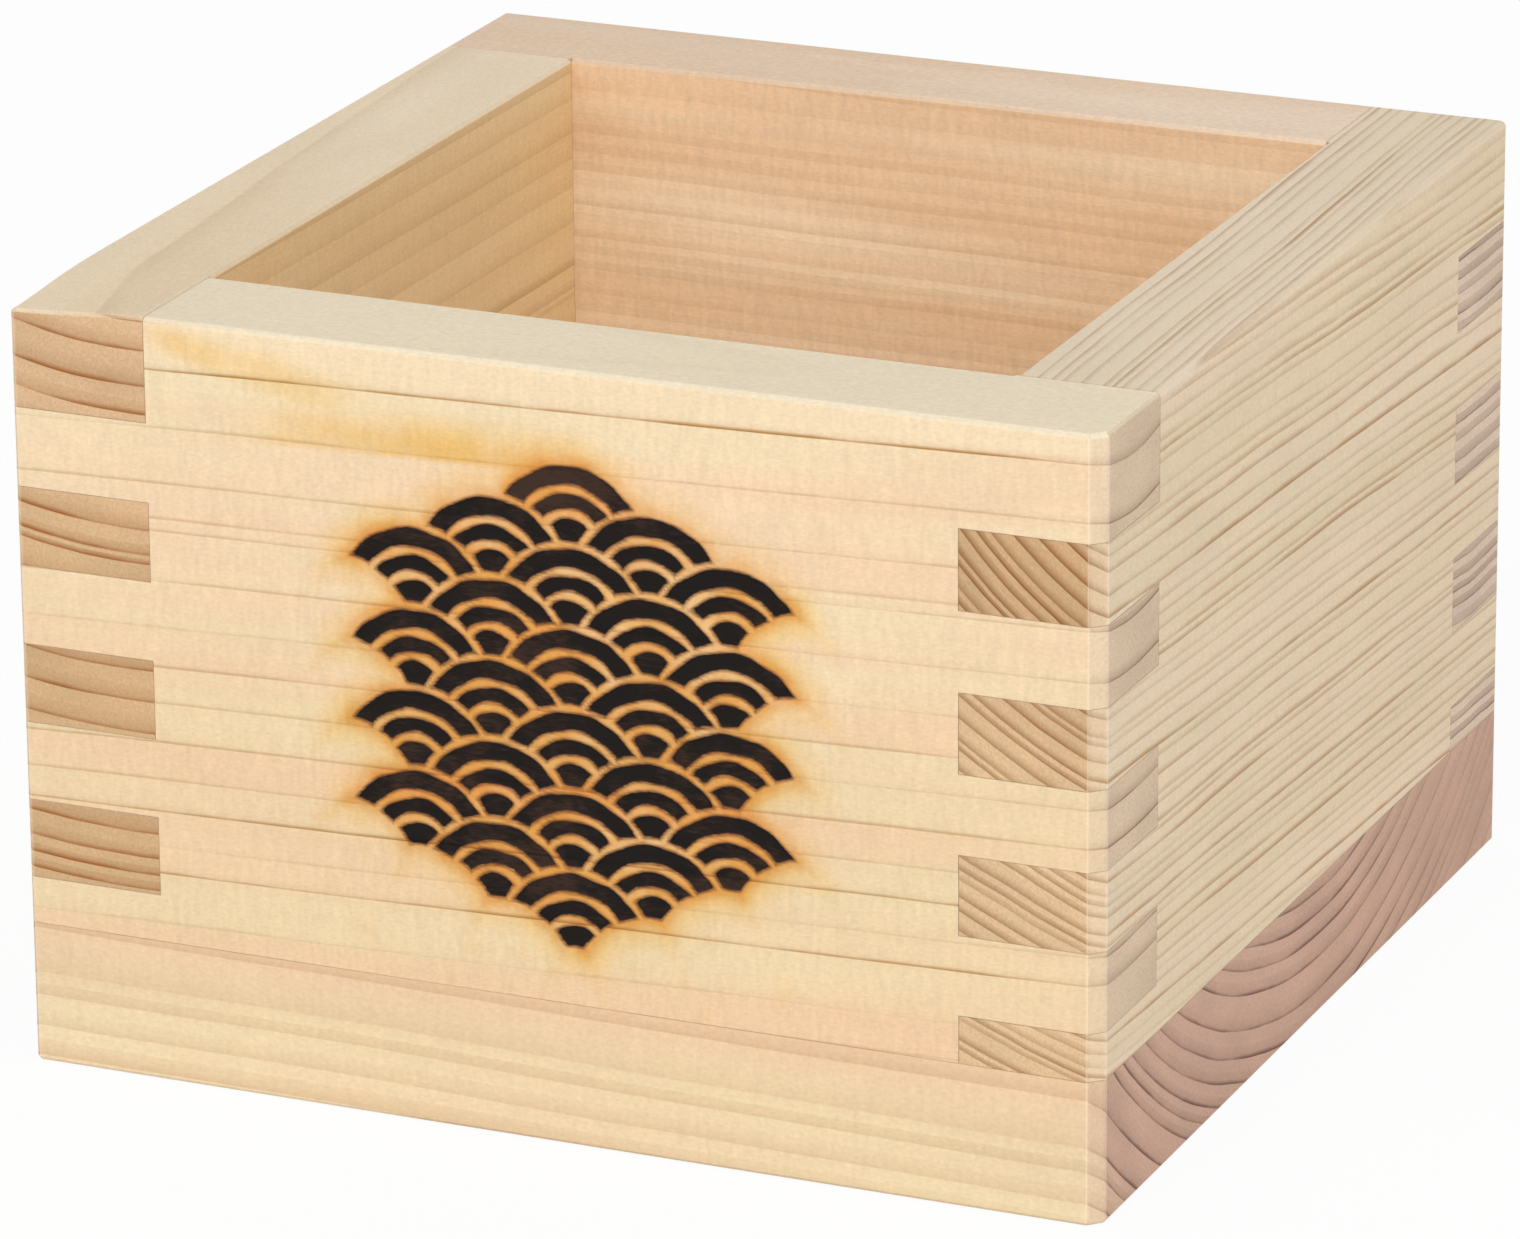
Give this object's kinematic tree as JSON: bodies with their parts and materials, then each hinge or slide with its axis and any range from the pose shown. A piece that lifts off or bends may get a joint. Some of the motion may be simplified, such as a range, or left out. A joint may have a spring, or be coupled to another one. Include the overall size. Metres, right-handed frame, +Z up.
{
  "type": "wooden box cup",
  "caption": "Square wooden box cup for rice wine: thick walls locked together with finger joints and glued on a bottom board, open at the top.",
  "frame": {"origin": "middle of the underside, where the cup stands on a table", "axes": "+Z up from the underside to the rim, -Y out of the front wall that carries the burnt pattern, +X out of the right wall"},
  "size_m": [0.084, 0.084, 0.0584],
  "materials": {
    "wall_wood": "planed, unvarnished softwood",
    "bottom_wood": "planed, unvarnished softwood"
  },
  "bodies": {
    "root": {"front_wall": "wall_wood", "right_wall": "wall_wood", "back_wall": "wall_wood", "left_wall": "wall_wood", "bottom_board": "bottom_wood"}
  },
  "joints": []
}
